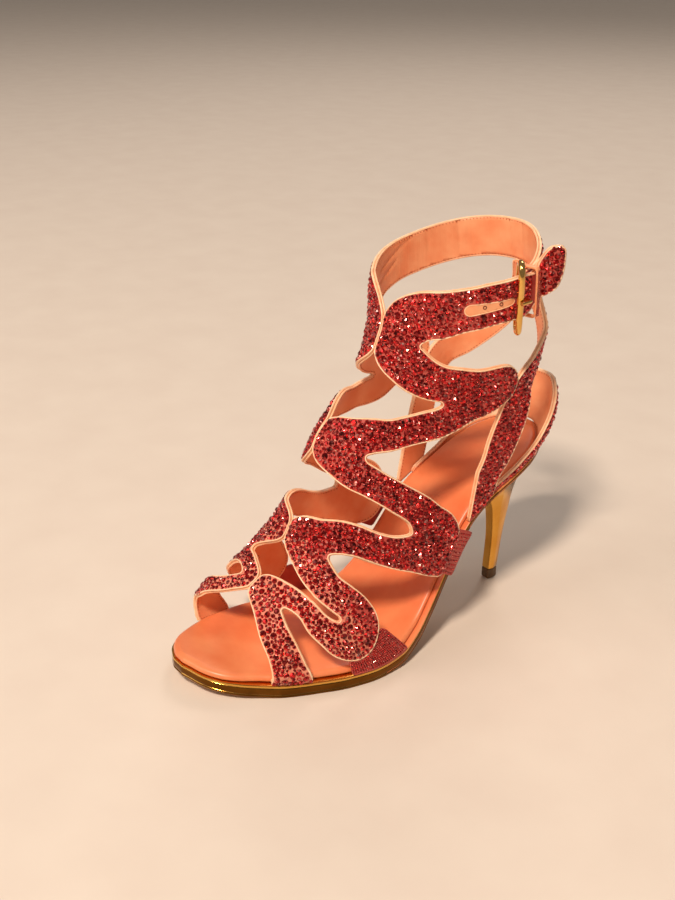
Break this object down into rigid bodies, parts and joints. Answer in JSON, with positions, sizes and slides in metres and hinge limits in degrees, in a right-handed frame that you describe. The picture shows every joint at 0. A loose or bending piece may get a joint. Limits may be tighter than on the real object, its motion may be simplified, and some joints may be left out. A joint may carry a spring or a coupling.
{
  "type": "strappy sandal",
  "caption": "Left high-heeled evening sandal: serpentine crystal-set leather straps, buckled ankle strap, low counter, padded insole, thin gold platform sole and faceted stiletto heel",
  "frame": {"origin": "bottom centre of the bounding box, on the floor the shoe stands on", "axes": "toe towards -Y, heel towards +Y, outer (lateral) side of the left foot +X, up +Z"},
  "size_m": [0.0956, 0.2226, 0.2008],
  "materials": {
    "mirror_leather": "gold mirror foil on leather, polished",
    "sock_leather": "soft salmon orange, satin, padded",
    "strap_leather": "peach leather set with ruby red crystals, salmon lining",
    "plated_heel": "polished gold plating over a moulded core",
    "top_piece": "matt moulded",
    "buckle_metal": "antique gold, polished"
  },
  "bodies": {
    "root": {"outsole": "mirror_leather", "insole": "sock_leather", "upper": "strap_leather", "heel": "plated_heel", "heel_tip": "top_piece", "buckle_frame": "buckle_metal", "buckle_prong": "buckle_metal", "keeper": "strap_leather"}
  },
  "joints": []
}
